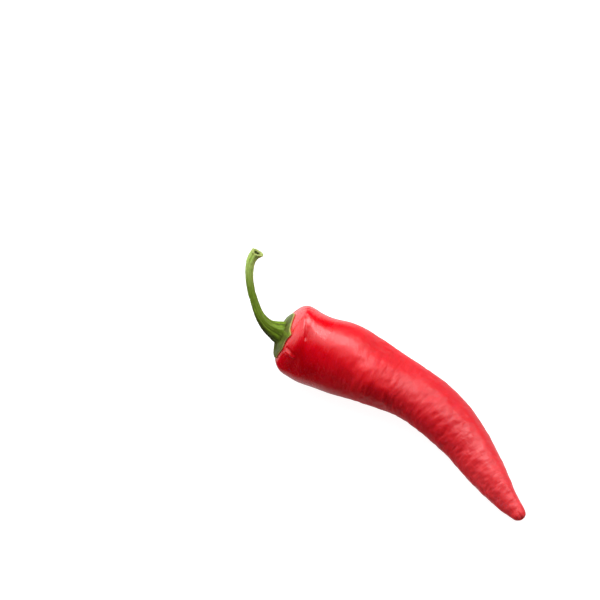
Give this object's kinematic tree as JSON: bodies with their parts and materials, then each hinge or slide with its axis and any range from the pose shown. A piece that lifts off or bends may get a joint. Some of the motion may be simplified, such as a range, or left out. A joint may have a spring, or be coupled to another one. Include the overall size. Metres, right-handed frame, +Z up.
{
  "type": "chilli pepper",
  "caption": "Fresh red chilli pepper, broad-shouldered and tapering in a gentle bow to a blunt tip, with a ribbed green calyx and a curved stem, lying on its side.",
  "frame": {"origin": "centre of the bounding box in plan, at the level that the chilli lies on", "axes": "+X runs from the stem end to the tip, +Y is the side that the pod bows to, +Z is up"},
  "size_m": [0.1371, 0.0358, 0.0403],
  "materials": {
    "red_skin": "smooth waxy skin with a strong gloss and fine cross wrinkles towards the tip",
    "green_stem": "satin green plant tissue with fine lengthwise streaks, paler at the cut end"
  },
  "bodies": {
    "root": {"pod": "red_skin", "stem_and_calyx": "green_stem"}
  },
  "joints": []
}
